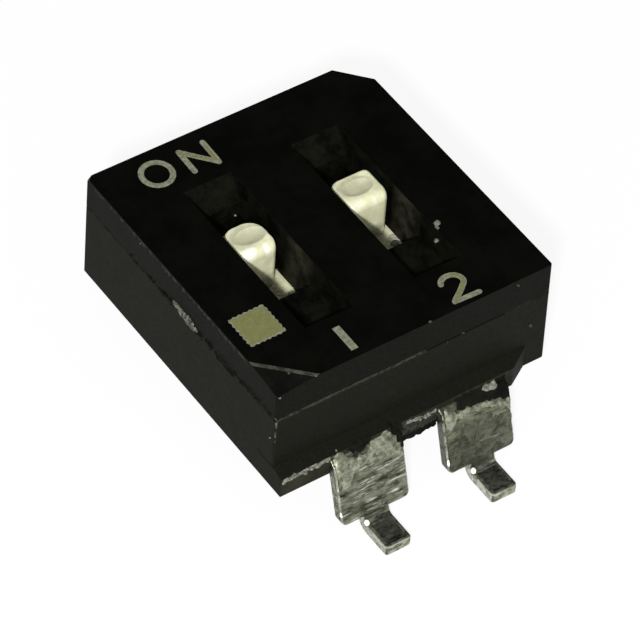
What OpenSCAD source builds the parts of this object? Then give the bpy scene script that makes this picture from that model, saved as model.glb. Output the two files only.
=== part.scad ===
// Two-position slide DIP switch for surface mounting.
// Origin: centre of the footprint, on the plane of the solder feet.
// +X runs along the row of switches, +Y towards the ON side, +Z up.

/* [Housing] */
// Distance from one switch to the next
pitch = 2.54; // [2.4:0.01:2.8]
// Width of the housing, along the row
housing_w = 6.5; // [6:0.05:7.2]
// Depth of the housing, from the number side to the ON side
housing_d = 6.79; // [6.2:0.01:7.4]
// Height of the housing without its leads
housing_h = 2.62; // [2.4:0.02:3]
// Height of the cover's outer plate, above the seam
cover_h = 0.75; // [0.5:0.01:0.9]
// Gap between the housing's underside and the board
stand_off = 1.47; // [1.2:0.01:1.8]
// How far each wall leans in from bottom to top
wall_draft = 0.03; // [0:0.01:0.06]
// Thickness of the base's outer walls, round the cover's plug
wall_t = 0.55; // [0.4:0.01:0.7]
// Clearance between the cover's plug and the base's walls
plug_gap = 0.02; // [0.01:0.01:0.05]
// Depth of the line pressed in along the seam
seam_depth = 0.03; // [0.01:0.01:0.05]
// Height of that line
seam_h = 0.05; // [0.02:0.01:0.08]

/* [Corners] */
// Leg of the shallow index facet on the cover's front left corner
facet_leg = 0.92; // [0.5:0.02:1.1]
// How far that facet drops at the corner
facet_drop = 0.1; // [0.04:0.01:0.3]
// Width of the upright cut at the rear right corner, along X
corner_cut_x = 0.60; // [0.3:0.02:0.8]
// Depth of that cut, along Y
corner_cut_y = 0.67; // [0.3:0.02:0.8]
// Radius of the upright edge at the rear left
rear_edge_r = 0.06; // [0.05:0.01:0.3]
// Legs of the worn-off tip of the cover's rear left corner
corner_tip = 0.12; // [0.05:0.01:0.4]
// Radius of the two upright edges at the front
front_edge_r = 0.06; // [0.03:0.01:0.2]

/* [Slots] */
// Width of each slot in the cover
slot_w = 1.12; // [1.05:0.01:1.3]
// Distance from the front wall to the slots
slot_front = 1.16; // [0.9:0.02:1.3]
// Distance from the rear wall to the slots
slot_rear = 1.38; // [1.2:0.02:1.5]
// Depth of the closed shelf in front of each knob
shelf_depth = 0.6; // [0.3:0.02:0.8]
// Length of the slope at each slot's ON end
ramp_run = 0.38; // [0.2:0.02:0.5]
// How far that slope falls
ramp_drop = 0.52; // [0.3:0.02:0.8]
// Clearance between the knob and the shelf when the switch is off
window_gap = 0.03; // [0.02:0.01:0.08]

/* [Ledge] */
// How far the ledges at the base's foot stand out
ledge_out = 0.3; // [0.2:0.01:0.36]
// Height of the ledges at their outer edge
ledge_h = 0.5; // [0.42:0.01:0.7]
// Further height gained where a ledge meets the wall
ledge_rise = 0.08; // [0:0.01:0.2]
// Length missing from a ledge at its end, along the wall
ledge_short = 0.5; // [0.3:0.05:0.9]
// Further length missing at the ledge's outer edge, where its end is cut askew
ledge_skew = 0.5; // [0:0.05:0.6]

/* [Leads] */
// Thickness of the lead sheet
sheet_t = 0.25; // [0.15:0.01:0.3]
// Height of the sheet's upper face above the housing's underside
lead_top = 0.38; // [0.34:0.01:0.4]
// Distance from toe to toe across both rows
lead_span = 10.06; // [9.6:0.02:11]
// Width of the upper part of each lead
plate_w = 1.6; // [1.3:0.02:1.8]
// Distance of the plate's middle from the switch's, to the right
plate_shift = -0.03; // [-0.05:0.01:0.05]
// Radius of the plate's two lower corners
plate_r = 0.12; // [0.05:0.01:0.2]
// Height of those corners above the board
plate_foot = 0.4; // [0.3:0.01:0.6]
// Width of the solder foot
foot_w = 0.6; // [0.5:0.02:0.8]
// Distance of the foot's middle from the switch's, to the right
foot_shift = -0.02; // [-0.05:0.01:0.08]
// Radius of the foot's two toe corners
toe_r = 0.07; // [0.02:0.01:0.12]
// Lean of the plate away from upright, in degrees
plate_lean = 16.5; // [8:0.5:22]
// Distance from the wall to where the sheet starts to bend
bend_out = 0.145; // [0.1:0.005:0.2]
// Inner radius of the upper bend
bend_r = 0.12; // [0.08:0.01:0.2]
// Inner radius of the bend above the foot
foot_bend_r = 0.1; // [0.06:0.01:0.2]
// How far the full width of a lead runs inside the wall
tail_in = 0.75; // [0.5:0.01:1]
// Width of each contact finger in the channel's floor
finger_w = 0.45; // [0.3:0.01:0.46]
// Length of the common finger beyond the middle of the channel
common_reach = 1.03; // [0.9:0.01:1.2]

/* [Slider] */
// Travel from ON to off
travel = 0.9; // [0.7:0.02:1]
// Length of the slider's body, along its travel
slider_l = 2.6; // [2.4:0.02:2.8]
// Width of the slider's body
slider_w = 1.5; // [1.4:0.01:1.6]
// Height of the slider's body
slider_h = 0.85; // [0.7:0.01:0.95]
// Gap under the slider
slider_lift = 0.07; // [0.04:0.01:0.12]
// Gap between the slider's body and the cover
cover_gap = 0.05; // [0.03:0.01:0.1]
// Clearance at each side of the slider's body
side_gap = 0.03; // [0.02:0.01:0.06]
// Clearance at each end of the travel
end_gap = 0.02; // [0.01:0.01:0.05]
// How far each knob reaches to the left of its switch's middle
knob_left = [0.47, 0.44]; // [0.36:0.01:0.5]
// How far it reaches to the right; the first knob is worn narrower
knob_right = [0.38, 0.48]; // [0.36:0.01:0.5]
// Length of the knob, along its travel
knob_l = 0.84; // [0.78:0.01:0.95]
// Radius of each knob's upright edge at the rear left
knob_rear_left_r = [0.28, 0.2]; // [0.1:0.01:0.4]
// Radius of that edge at the rear right, where the first knob is worn rounder
knob_rear_right_r = [0.36, 0.12]; // [0.1:0.01:0.4]
// Radius of the knob's two front upright edges
knob_front_r = 0.14; // [0.1:0.01:0.25]
// Round-over of the knob's upper rim, at its sides and rear
knob_rim = 0.06; // [0.02:0.01:0.1]
// Round-over of that rim at the front, where a tool pushes
knob_nose = 0.2; // [0.08:0.01:0.24]
// Distance of the knob's top below the cover's face
knob_drop = 0.17; // [0.05:0.01:0.4]
// Width of the oval dish in the knob's top, along X
dish_w = 0.7; // [0.4:0.02:0.8]
// Length of that dish, along Y
dish_l = 0.42; // [0.3:0.02:0.5]
// Depth of that dish
dish_depth = 0.05; // [0.03:0.01:0.1]
// Distance of that dish behind the knob's middle
dish_back = 0.04; // [0:0.01:0.08]
// Thickness of plastic between dish and spring
knob_cap = 0.18; // [0.1:0.01:0.3]

/* [Contact] */
// Diameter of the contact ball
ball_d = 0.794; // [0.7:0.002:0.82]
// Width of the track between the two fingers
track_w = 0.44; // [0.38:0.01:0.5]
// Depth of that track
track_depth = 0.12; // [0.1:0.01:0.16]
// Running gap between the ball and the fingers' edges
ball_gap = 0.02; // [0.01:0.01:0.03]
// Clearance round the ball in the slider
ball_fit = 0.03; // [0.01:0.01:0.04]
// Diameter of the spring wire
wire_d = 0.08; // [0.06:0.01:0.1]
// Mean diameter of the spring
spring_d = 0.42; // [0.36:0.01:0.44]
// Clearance round the spring in the slider
spring_fit = 0.03; // [0.01:0.01:0.04]
// Open turns of the spring, between its two closed ends
spring_turns = 3; // [2:1:5]

/* [Hidden] */
$fn = 48;

// Slack that cutting shapes need past the faces they cut
over = 0.2;

// Flats that each bend of a lead is drawn with
bend_steps = 9;

// Share of the wire's radius that is drawn, which keeps closed turns apart
wire_share = 0.96;

// Levels above the board
underside = stand_off;
floor_z = underside + lead_top;
deck_z = floor_z + slider_lift + slider_h;
plug_z = deck_z + cover_gap;
top_z = underside + housing_h;
seam_z = top_z - cover_h;
knob_top = top_z - knob_drop;

// Plan positions of the slots
front_y = -housing_d / 2;
rear_y = housing_d / 2;
slot_y0 = front_y + slot_front;
slot_y1 = rear_y - slot_rear;
window_y0 = -travel / 2 - knob_l / 2 - window_gap;
window_y1 = slot_y1 - ramp_run;

// Channel in the base that a slider runs in
channel_w = slider_w + 2 * side_gap;
channel_l = slider_l + travel + 2 * end_gap;

// Slider at rest: ON, at the rear stop
slider_y = travel / 2;

// Contact ball resting between two finger edges, and the spring above it
ball_r = ball_d / 2;
ball_z = floor_z + sqrt(pow(ball_r, 2) - pow(track_w / 2, 2)) + ball_gap;
ball_bore_top = ball_z + ball_r + ball_fit;
wire_r = wire_d / 2;
spring_r = spring_d / 2;
spring_z0 = ball_z + sqrt(pow(ball_r + wire_r, 2) - pow(spring_r, 2)) + ball_gap;
spring_bore_top = knob_top - dish_depth - knob_cap;
spring_z1 = spring_bore_top - wire_r - ball_gap;

// Radii of the dish's surface, seen along Y and along X
dish_wide_r = (pow(dish_w / 2, 2) + pow(dish_depth, 2)) / (2 * dish_depth);
dish_long_r = (pow(dish_l / 2, 2) + pow(dish_depth, 2)) / (2 * dish_depth);

// Bends of the lead, measured outwards from the wall and up from the board
bend_outer = bend_r + sheet_t;
bend_centre = [bend_out, floor_z - bend_outer];
plate_top = bend_centre + bend_outer * [cos(plate_lean), sin(plate_lean)];
foot_top = sheet_t;
foot_centre_z = foot_top + foot_bend_r;
plate_len = (plate_top[1] + foot_bend_r * sin(plate_lean) - foot_centre_z) / cos(plate_lean);
foot_centre = [plate_top[0] + plate_len * sin(plate_lean) + foot_bend_r * cos(plate_lean), foot_centre_z];
toe_out = lead_span / 2 - housing_d / 2;
finger_x = track_w / 2 + finger_w / 2;

function slot_x(n) = (n - 1.5) * pitch;

// Plan of the housing, with its corners as moulded
module footprint(inset = 0) {
    w = housing_w - 2 * inset;
    d = housing_d - 2 * inset;
    difference() {
        square([w, d], center = true);
        translate([w / 2, d / 2])
            polygon([[over, over], [-corner_cut_x - over * corner_cut_x / corner_cut_y, over],
                     [over, -corner_cut_y - over * corner_cut_y / corner_cut_x]]);
        corner_round([-w / 2, d / 2], [1, -1], rear_edge_r);
        corner_round([-w / 2, -d / 2], [1, 1], front_edge_r);
        corner_round([w / 2, -d / 2], [-1, 1], front_edge_r);
    }
}

// What is taken off a square corner to round it
module corner_round(at, inward, r) {
    translate(at)
        scale([inward[0], inward[1]])
            difference() {
                translate([-over, -over]) square(over + r);
                translate([r, r]) circle(r);
            }
}

// Drafted outer form of the whole housing
module housing_form() {
    translate([0, 0, underside])
        linear_extrude(height = housing_h, slices = 1,
                       scale = [1 - 2 * wall_draft / housing_w, 1 - 2 * wall_draft / housing_d])
            footprint();
}

module slab(z0, z1) {
    translate([-housing_w, -housing_d, z0]) cube([2 * housing_w, 2 * housing_d, z1 - z0]);
}

// Block centred in X and Y that stands between two levels
module block(w, d, z0, z1) {
    translate([-w / 2, -d / 2, z0]) cube([w, d, z1 - z0]);
}

// Level slice of knob n; inset pulls its sides and rear in, nose pulls its front in
module knob_slice(n, inset, nose, z0, z1) {
    x0 = inset - knob_left[n - 1];
    x1 = knob_right[n - 1] - inset;
    y0 = nose - knob_l / 2;
    y1 = knob_l / 2 - inset;
    left_r = min(knob_rear_left_r[n - 1] - inset / 2, (y1 - y0) / 2);
    right_r = min(knob_rear_right_r[n - 1] - inset / 2, (y1 - y0) / 2);
    translate([0, 0, z0])
        linear_extrude(height = z1 - z0)
            hull() {
                translate([x0 + knob_front_r, y0 + knob_front_r]) circle(knob_front_r, $fn = 32);
                translate([x1 - knob_front_r, y0 + knob_front_r]) circle(knob_front_r, $fn = 32);
                translate([x0 + left_r, y1 - left_r]) circle(left_r, $fn = 32);
                translate([x1 - right_r, y1 - right_r]) circle(right_r, $fn = 32);
            }
}

// Knob with a narrow round-over at its sides and a wide one at its front
module knob(n) {
    steps = 5;
    slice_h = 0.002;
    hull() {
        knob_slice(n, 0, 0, deck_z - slider_h / 2, knob_top - knob_nose);
        for (i = [1:steps]) {
            a = 90 * i / steps;
            // Drop of this slice below the knob's top, set by the front round-over
            drop = knob_nose * (1 - sin(a));
            side = drop > knob_rim ? 0 : knob_rim - sqrt(pow(knob_rim, 2) - pow(knob_rim - drop, 2));
            knob_slice(n, side, knob_nose * (1 - cos(a)), knob_top - drop - slice_h, knob_top - drop);
        }
    }
}

// Ring whose lowest part dips into the knob's top and leaves an oval dish
module dish() {
    translate([0, dish_back, knob_top + dish_wide_r - dish_depth])
        rotate([90, 0, 0])
            rotate_extrude($fn = 96) translate([dish_wide_r - dish_long_r, 0]) circle(dish_long_r);
}

// Ledge along the foot of the front wall; it stops short of the right-hand end,
// and of the left-hand end too where left_short is given
module ledge(left_short = 0) {
    left = -housing_w / 2 + left_short;
    right = housing_w / 2 - ledge_short;
    skew_left = left_short > 0 ? ledge_skew : 0;
    intersection() {
        translate([-housing_w / 2, front_y, underside])
            rotate([90, 0, 90])
                linear_extrude(height = housing_w)
                    polygon([[wall_t, 0], [-ledge_out, 0], [-ledge_out, ledge_h],
                             [0, ledge_h + ledge_rise], [wall_t, ledge_h + ledge_rise]]);
        translate([0, front_y, underside - over])
            linear_extrude(height = housing_h)
                polygon([[left, wall_t + over], [left, 0], [left + skew_left, -ledge_out],
                         [left + skew_left, -ledge_out - over], [right - ledge_skew, -ledge_out - over],
                         [right - ledge_skew, -ledge_out], [right, 0], [right, wall_t + over]]);
    }
}

module base() {
    color([0.13, 0.13, 0.12])
        difference() {
            union() {
                intersection() {
                    housing_form();
                    slab(underside, seam_z);
                }
                ledge();
                mirror([0, 1, 0]) ledge(ledge_short);
            }
            // Line pressed in along the seam
            difference() {
                slab(seam_z - seam_h, seam_z + over);
                translate([0, 0, seam_z - seam_h - over])
                    linear_extrude(height = seam_h + 3 * over) footprint(wall_draft + seam_depth);
            }
            // Pocket for the cover's plug
            block(housing_w - 2 * wall_t, housing_d - 2 * wall_t, plug_z, seam_z + over);
            for (n = [1, 2]) {
                translate([slot_x(n), 0, 0]) {
                    block(channel_w, channel_l, floor_z, plug_z + over);
                    block(track_w, 2 * common_reach, floor_z - track_depth, floor_z + over);
                }
                lead(n, -1);
                lead(n, 1);
            }
        }
}

// Cut of one slot: open window under the knob's travel, shelf in front and slope behind
module slot_cut() {
    reach = 2 * housing_h;
    rotate([90, 0, 90])
        translate([0, 0, -slot_w / 2])
            linear_extrude(height = slot_w)
                polygon([[slot_y0, top_z + over], [slot_y0, top_z - shelf_depth],
                         [window_y0, top_z - shelf_depth], [window_y0, plug_z - reach],
                         [window_y1, plug_z - reach], [window_y1, top_z - ramp_drop],
                         [slot_y1, top_z], [slot_y1, top_z + over]]);
}

// Wedge taken off the front left corner for the index facet
module facet_cut() {
    crease = facet_leg * sqrt(2);
    tilt = atan(facet_drop / (crease / 2));
    translate([-housing_w / 2 + wall_draft, front_y + wall_draft + facet_leg, top_z])
        rotate([0, 0, -45])
            rotate([tilt, 0, 0])
                translate([-crease, -2 * crease, 0]) cube([3 * crease, 2 * crease, housing_h]);
}

// Tip taken off the rear left corner
module tip_cut() {
    translate([-housing_w / 2 + wall_draft, rear_y - wall_draft, top_z])
        rotate([0, acos(1 / sqrt(3)), 135])
            translate([-housing_h / 2, -housing_h / 2, -corner_tip / sqrt(3)]) cube(housing_h);
}

module cover() {
    color([0.06, 0.06, 0.06])
        difference() {
            union() {
                intersection() {
                    housing_form();
                    slab(seam_z, top_z + over);
                }
                block(housing_w - 2 * wall_t - 2 * plug_gap, housing_d - 2 * wall_t - 2 * plug_gap,
                      plug_z, seam_z + over);
            }
            for (n = [1, 2]) translate([slot_x(n), 0, 0]) slot_cut();
            facet_cut();
            tip_cut();
        }
}

// Points on a bend from angle a0 to angle a1
function arc(centre, r, a0, a1) =
    [for (i = [0:bend_steps]) let (a = a0 + (a1 - a0) * i / bend_steps) centre + r * [cos(a), sin(a)]];

// Side view of the bent sheet: distance out from the wall, then height
module lead_profile() {
    inner = -housing_d;
    polygon(concat(
        [[inner, floor_z - sheet_t], [inner, floor_z]],
        arc(bend_centre, bend_outer, 90, plate_lean),
        arc(foot_centre, foot_bend_r, 180 + plate_lean, 270),
        [[toe_out, sheet_t], [toe_out, 0]],
        arc(foot_centre, foot_bend_r + sheet_t, 270, 180 + plate_lean),
        arc(bend_centre, bend_r, plate_lean, 90)));
}

// One lead of switch n; side is -1 for the number side, 1 for the ON side.
// The front lead's finger serves both positions, the rear one only ON.
module lead(n, side) {
    reach = side < 0 ? common_reach : 0;
    finger_side = side < 0 ? -1 : 1;
    out_y = lead_span;
    translate([slot_x(n), 0, 0])
        scale([1, -side, 1])
            intersection() {
                translate([plate_shift - plate_w / 2, front_y, 0])
                    rotate([90, 0, 90])
                        linear_extrude(height = plate_w) mirror([1, 0]) lead_profile();
                union() {
                    // Plate and tail at full width
                    translate([plate_shift, front_y + tail_in, 0])
                        rotate([90, 0, 0])
                            linear_extrude(height = out_y) plate_outline();
                    // Foot
                    translate([0, front_y, 0]) toe_outline();
                    // Finger in the channel's floor
                    translate([finger_side * finger_x - finger_w / 2, front_y, underside])
                        cube([finger_w, reach - front_y, housing_h]);
                }
            }
}

// Front view of the plate, with rounded lower corners
module plate_outline() {
    translate([-plate_w / 2, plate_foot + plate_r]) square([plate_w, housing_h + stand_off]);
    translate([-plate_w / 2 + plate_r, plate_foot]) square([plate_w - 2 * plate_r, 2 * plate_r]);
    for (x = [-1, 1]) translate([x * (plate_w / 2 - plate_r), plate_foot + plate_r]) circle(plate_r);
}

// Plan of the foot, with rounded toe corners
module toe_outline() {
    length = toe_out + tail_in;
    translate([0, 0, -over])
        linear_extrude(height = plate_foot + plate_r + over)
            translate([foot_shift, -toe_out]) {
                translate([-foot_w / 2, toe_r]) square([foot_w, length - toe_r]);
                translate([-foot_w / 2 + toe_r, 0]) square([foot_w - 2 * toe_r, 2 * toe_r]);
                for (x = [-1, 1]) translate([x * (foot_w / 2 - toe_r), toe_r]) circle(toe_r);
            }
}

module terminal(n, side) {
    color([0.62, 0.63, 0.58]) lead(n, side);
}

// Actuator of one switch: a body under the cover and a dished knob in the slot
module slider(n) {
    color([0.87, 0.86, 0.74])
        translate([slot_x(n), slider_y, 0])
            difference() {
                union() {
                    block(slider_w, slider_l, deck_z - slider_h, deck_z);
                    knob(n);
                }
                dish();
                translate([0, 0, deck_z - slider_h - over])
                    cylinder(r = ball_r + ball_fit, h = ball_bore_top - deck_z + slider_h + over);
                translate([0, 0, deck_z - slider_h])
                    cylinder(r = spring_r + wire_r + spring_fit, h = spring_bore_top - deck_z + slider_h);
            }
}

// Contact spring, seated between the ball and the end of the slider's bore
module spring(n) {
    closed_turns = 1;
    turns = spring_turns + 2 * closed_turns;
    steps = 12;
    sides = 6;
    rings = turns * steps;
    drawn_r = wire_r * wire_share;
    height = spring_z1 - spring_z0;
    rise_closed = wire_d * closed_turns;
    // Height of the wire's middle after t turns
    function wire_z(t) =
        t < closed_turns ? wire_d * t
        : t > turns - closed_turns ? height - wire_d * (turns - t)
        : rise_closed + (height - 2 * rise_closed) * (t - closed_turns) / spring_turns;
    points = [for (i = [0:rings]) let (t = i / steps, a = 360 * t)
              for (j = [0:sides - 1]) let (b = 360 * j / sides, out = spring_r + drawn_r * cos(b))
              [out * cos(a), out * sin(a), spring_z0 + wire_z(t) + drawn_r * sin(b)]];
    skin = [for (i = [0:rings - 1]) for (j = [0:sides - 1]) let (k = (j + 1) % sides)
            [i * sides + j, i * sides + k, (i + 1) * sides + k, (i + 1) * sides + j]];
    first_end = [for (j = [0:sides - 1]) sides - 1 - j];
    last_end = [for (j = [0:sides - 1]) rings * sides + j];
    color([0.7, 0.7, 0.68])
        translate([slot_x(n), slider_y, 0])
            polyhedron(points = points, faces = concat([first_end], skin, [last_end]), convexity = 10);
}

// Contact ball that bridges the two fingers when the switch is ON
module ball(n) {
    color([0.8, 0.68, 0.35])
        translate([slot_x(n), slider_y, ball_z]) sphere(ball_r);
}

base();
cover();
terminal(1, -1);  // terminal_front_1
terminal(2, -1);  // terminal_front_2
terminal(1, 1);  // terminal_rear_1
terminal(2, 1);  // terminal_rear_2
slider(1);  // slider_1
slider(2);  // slider_2
spring(1);  // spring_1
spring(2);  // spring_2
ball(1);  // ball_1
ball(2);  // ball_2
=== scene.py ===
# %% [markdown]
# A two-position slide DIP switch, seen very close
#
# The switch is 10 mm long from toe to toe. Its shape comes from a CAD frame that is already packed, and
# this lesson dresses that frame: it rounds the edges, gives every part the surface of its real material,
# and adds the small things that CAD leaves out, such as print, moulding flash and crumbs.
# Everything is in metres, in the CAD's own frame: X runs along the row, Y points to the ON side, Z is up.
# At this scale a metre is huge, so sizes below are written in millimetres and multiplied by MM.

# %% Load the frame
import math
import random

import bmesh
import bpy
from mathutils import Matrix, Vector, noise
from mathutils.bvhtree import BVHTree


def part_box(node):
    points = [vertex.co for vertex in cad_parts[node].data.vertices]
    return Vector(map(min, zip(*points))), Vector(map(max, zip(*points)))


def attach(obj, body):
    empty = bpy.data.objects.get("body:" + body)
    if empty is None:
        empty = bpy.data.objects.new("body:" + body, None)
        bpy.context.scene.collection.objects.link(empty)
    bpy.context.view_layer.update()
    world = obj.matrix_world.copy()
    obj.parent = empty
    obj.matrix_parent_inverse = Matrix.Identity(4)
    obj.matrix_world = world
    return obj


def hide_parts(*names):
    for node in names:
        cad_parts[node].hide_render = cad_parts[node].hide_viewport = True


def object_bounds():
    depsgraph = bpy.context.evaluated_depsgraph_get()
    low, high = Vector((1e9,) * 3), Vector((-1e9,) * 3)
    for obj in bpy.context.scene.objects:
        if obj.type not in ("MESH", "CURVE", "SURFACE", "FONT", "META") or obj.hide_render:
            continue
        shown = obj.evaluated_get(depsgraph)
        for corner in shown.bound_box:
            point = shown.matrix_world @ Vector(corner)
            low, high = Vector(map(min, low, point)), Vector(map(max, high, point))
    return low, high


MM = 0.001
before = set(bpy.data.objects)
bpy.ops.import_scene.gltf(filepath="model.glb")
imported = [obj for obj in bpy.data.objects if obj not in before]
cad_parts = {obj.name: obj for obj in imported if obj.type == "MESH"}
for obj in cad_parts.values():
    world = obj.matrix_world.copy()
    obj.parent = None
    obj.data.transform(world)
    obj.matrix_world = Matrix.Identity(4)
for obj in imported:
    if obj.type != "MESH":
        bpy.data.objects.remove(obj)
cad_low, cad_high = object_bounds()
print("CAD box in mm:", [round(v / MM, 3) for v in (*cad_low, *cad_high)])

# %% [markdown]
# Where things are
#
# Levels are read from the frame, so that the pieces still fit if the CAD changes. The housing has two
# halves: the base below the seam and the cover above it.

# %% Levels and walls
base_low, base_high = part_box("base")
cover_low, cover_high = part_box("cover")
TOP = cover_high.z / MM
SEAM = base_high.z / MM
UNDERSIDE = base_low.z / MM
LEFT_WALL = base_low.x / MM
RIGHT_WALL = base_high.x / MM
PITCH = 2.54
print(f"top {TOP:.2f}, seam {SEAM:.2f}, underside {UNDERSIDE:.2f} mm above the board")

# %% [markdown]
# Colours
#
# Colours are written as sRGB hex values, as a picture editor shows them. Blender's shaders add up light,
# so they need linear values, and one function turns the first into the second.


# %% From sRGB to linear
def linear(hex_colour):
    channels = [int(hex_colour[i : i + 2], 16) / 255 for i in (1, 3, 5)]
    curved = [c / 12.92 if c <= 0.04045 else ((c + 0.055) / 1.055) ** 2.4 for c in channels]
    return (*curved, 1.0)


print("middle grey is", [round(c, 3) for c in linear("#808080")[:3]])

# %% [markdown]
# Building a material from nodes
#
# A shader is a small network: patterns on the left, the surface on the right. This one function adds a
# node, sets its options and either links or sets its inputs. Pattern sizes are real sizes: a noise with
# one lump per 0.4 mm needs a scale of 1 / 0.0004 m, and lumps_per_metre works that out.


# %% One helper for every node
def add(tree, kind, inputs=None, **settings):
    node = tree.nodes.new(kind)
    for name, value in settings.items():
        setattr(node, name, value)
    for name, value in (inputs or {}).items():
        if isinstance(value, bpy.types.NodeSocket):
            tree.links.new(value, node.inputs[name])
        else:
            node.inputs[name].default_value = value
    return node


def new_material(name):
    made = bpy.data.materials.new(name)
    made.use_nodes = True
    made.node_tree.nodes.clear()
    return made, made.node_tree


def lumps_per_metre(size_mm):
    return 1 / (size_mm * MM)


print("a 0.4 mm lump needs a scale of", lumps_per_metre(0.4))

# %% [markdown]
# Patterns and places that the materials use
#
# cloud is a soft, uneven pattern with lumps of one real size, and two_tones turns such a pattern into a
# blend of two colours. The part of the pattern between low and high becomes the blend. A spot is written in
# millimetres from each slot's own middle line, so that both slots and both sliders share one material: WRAP
# folds the two of them onto each other.


# %% Patterns
def cloud(tree, size_mm, detail=3.0, roughness=0.5, stretch=(1.0, 1.0, 1.0), turn=(0.0,) * 3, swirl=0.0):
    place = add(tree, "ShaderNodeTexCoord")
    moved = add(
        tree,
        "ShaderNodeMapping",
        {"Vector": place.outputs["Object"], "Rotation": [math.radians(t) for t in turn], "Scale": stretch},
    )
    made = add(
        tree,
        "ShaderNodeTexNoise",
        {
            "Vector": moved.outputs["Vector"],
            "Scale": lumps_per_metre(size_mm),
            "Detail": detail,
            "Roughness": roughness,
            "Distortion": swirl,
        },
    )
    return made.outputs["Fac"]


def two_tones(tree, pattern, dark, light, low=0.35, high=0.65):
    ramp = add(tree, "ShaderNodeValToRGB", {"Fac": pattern})
    ramp.color_ramp.elements[0].position = low
    ramp.color_ramp.elements[0].color = linear(dark)
    ramp.color_ramp.elements[1].position = high
    ramp.color_ramp.elements[1].color = linear(light)
    return ramp.outputs["Color"]


def blend(tree, factor, first, second):
    mixed = add(tree, "ShaderNodeMix", data_type="RGBA")
    tree.links.new(factor, mixed.inputs["Factor"])
    tree.links.new(first, mixed.inputs["A"])
    tree.links.new(second, mixed.inputs["B"])
    return mixed.outputs["Result"]


def falling(tree, value, start, end):
    """1 up to start, 0 from end on, and a straight slope between them."""
    made = add(
        tree,
        "ShaderNodeMapRange",
        {"Value": value, "From Min": start, "From Max": end, "To Min": 1, "To Max": 0},
    )
    return made.outputs["Result"]


def slider_spot(tree, middle, size, wobble=0.5, soft=0.12):
    """1 inside an oval on either side and 0 outside it, with an uneven edge. Sizes are in mm."""
    place = add(tree, "ShaderNodeTexCoord")
    split = add(tree, "ShaderNodeSeparateXYZ", {"Vector": place.outputs["Object"]})
    across = add(tree, "ShaderNodeMath", {0: split.outputs["X"], 1: PITCH * MM, 2: 0.0}, operation="WRAP")
    there = add(tree, "ShaderNodeCombineXYZ", {"X": across.outputs["Value"], "Y": split.outputs["Y"]})
    centre = ((middle[0] + PITCH / 2) * MM, middle[1] * MM, 0)
    moved = add(tree, "ShaderNodeVectorMath", {0: there.outputs["Vector"], 1: centre}, operation="SUBTRACT")
    per_size = (1 / (size[0] * MM), 1 / (size[1] * MM), 0)
    scaled = add(
        tree, "ShaderNodeVectorMath", {0: moved.outputs["Vector"], 1: per_size}, operation="MULTIPLY"
    )
    far = add(tree, "ShaderNodeVectorMath", {0: scaled.outputs["Vector"]}, operation="LENGTH")
    uneven = add(
        tree,
        "ShaderNodeMath",
        {0: cloud(tree, 0.07, 4.0, 0.65), 1: wobble, 2: far.outputs["Value"]},
        operation="MULTIPLY_ADD",
    )
    edge = 1 + wobble / 2
    return falling(tree, uneven.outputs["Value"], edge - soft, edge + soft)


def below(tree, level_mm, soft_mm):
    """1 under a level and 0 above it."""
    place = add(tree, "ShaderNodeTexCoord")
    split = add(tree, "ShaderNodeSeparateXYZ", {"Vector": place.outputs["Object"]})
    return falling(tree, split.outputs["Z"], (level_mm - soft_mm) * MM, (level_mm + soft_mm) * MM)


print("patterns are ready")

# %% [markdown]
# The black housing: glass-filled nylon
#
# Both halves are moulded in a heat-resistant, glass-filled black plastic, because the switch goes through
# a soldering oven. The mould is spark-eroded, which leaves a fine matt grain of about 0.04 mm. Seen
# steeply the plastic is almost pure black, and seen at a slant it mirrors a little light and turns a warm
# dark grey. Its IOR is lower than nylon's real 1.53, because the grain swallows most of that mirror light.
# Handling leaves chalky scuffs on edges; scuff says how much of the surface they cover. The walls are painted
# a lighter black than the top, as painted sheen, and a warm patch on the right walls of the slots, beside the
# knobs, is a painted reflection of the ivory knobs.


# %% Black glass-filled nylon
def make_black_nylon(name, dark, light, gloss=0.5, scuff=0.0, mirror=1.16, patch=0.9, knob_reflection=False):
    made, tree = new_material(name)
    tone = two_tones(tree, cloud(tree, patch, 6.0, 0.7), dark, light, 0.4, 0.6)
    if scuff > 0:
        edge = 0.72 - 0.4 * scuff
        chalky = two_tones(tree, cloud(tree, 0.13, 4.0, 0.7), "#000000", "#ffffff", edge, edge + 0.08)
        chalk = two_tones(tree, cloud(tree, 0.06), "#33332f", "#74746a")
        tone = blend(tree, chalky, tone, chalk)
    # A warm patch beside each knob on the slot's right wall is a painted reflection of the ivory knob.
    if knob_reflection:
        reflected_tone = two_tones(tree, cloud(tree, 0.3, 3.0), "#12120d", "#2f2d24", 0.36, 0.6)
        tone = blend(tree, slider_spot(tree, (0.6, -0.42), (0.2, 0.36), 0.3, 0.45), tone, reflected_tone)
    matt = add(
        tree,
        "ShaderNodeMapRange",
        {
            "Value": cloud(tree, 0.5, 4.0, 0.65),
            "From Min": 0.3,
            "From Max": 0.7,
            "To Min": gloss - 0.01,
            "To Max": gloss + 0.04,
        },
    )
    bump = add(
        tree,
        "ShaderNodeBump",
        {"Height": cloud(tree, 0.05, 3.0, 0.6), "Strength": 0.6, "Distance": 0.006 * MM},
    )
    waves = add(
        tree,
        "ShaderNodeBump",
        {
            "Height": cloud(tree, 0.3, 3.0, 0.6),
            "Strength": 0.25,
            "Distance": 0.006 * MM,
            "Normal": bump.outputs["Normal"],
        },
    )
    shader = add(
        tree,
        "ShaderNodeBsdfPrincipled",
        {
            "Base Color": tone,
            "Roughness": matt.outputs["Result"],
            "IOR": mirror,
            "Specular Tint": linear("#fffff0"),
            "Normal": waves.outputs["Normal"],
        },
    )
    add(tree, "ShaderNodeOutputMaterial", {"Surface": shader.outputs["BSDF"]})
    return made


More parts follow.
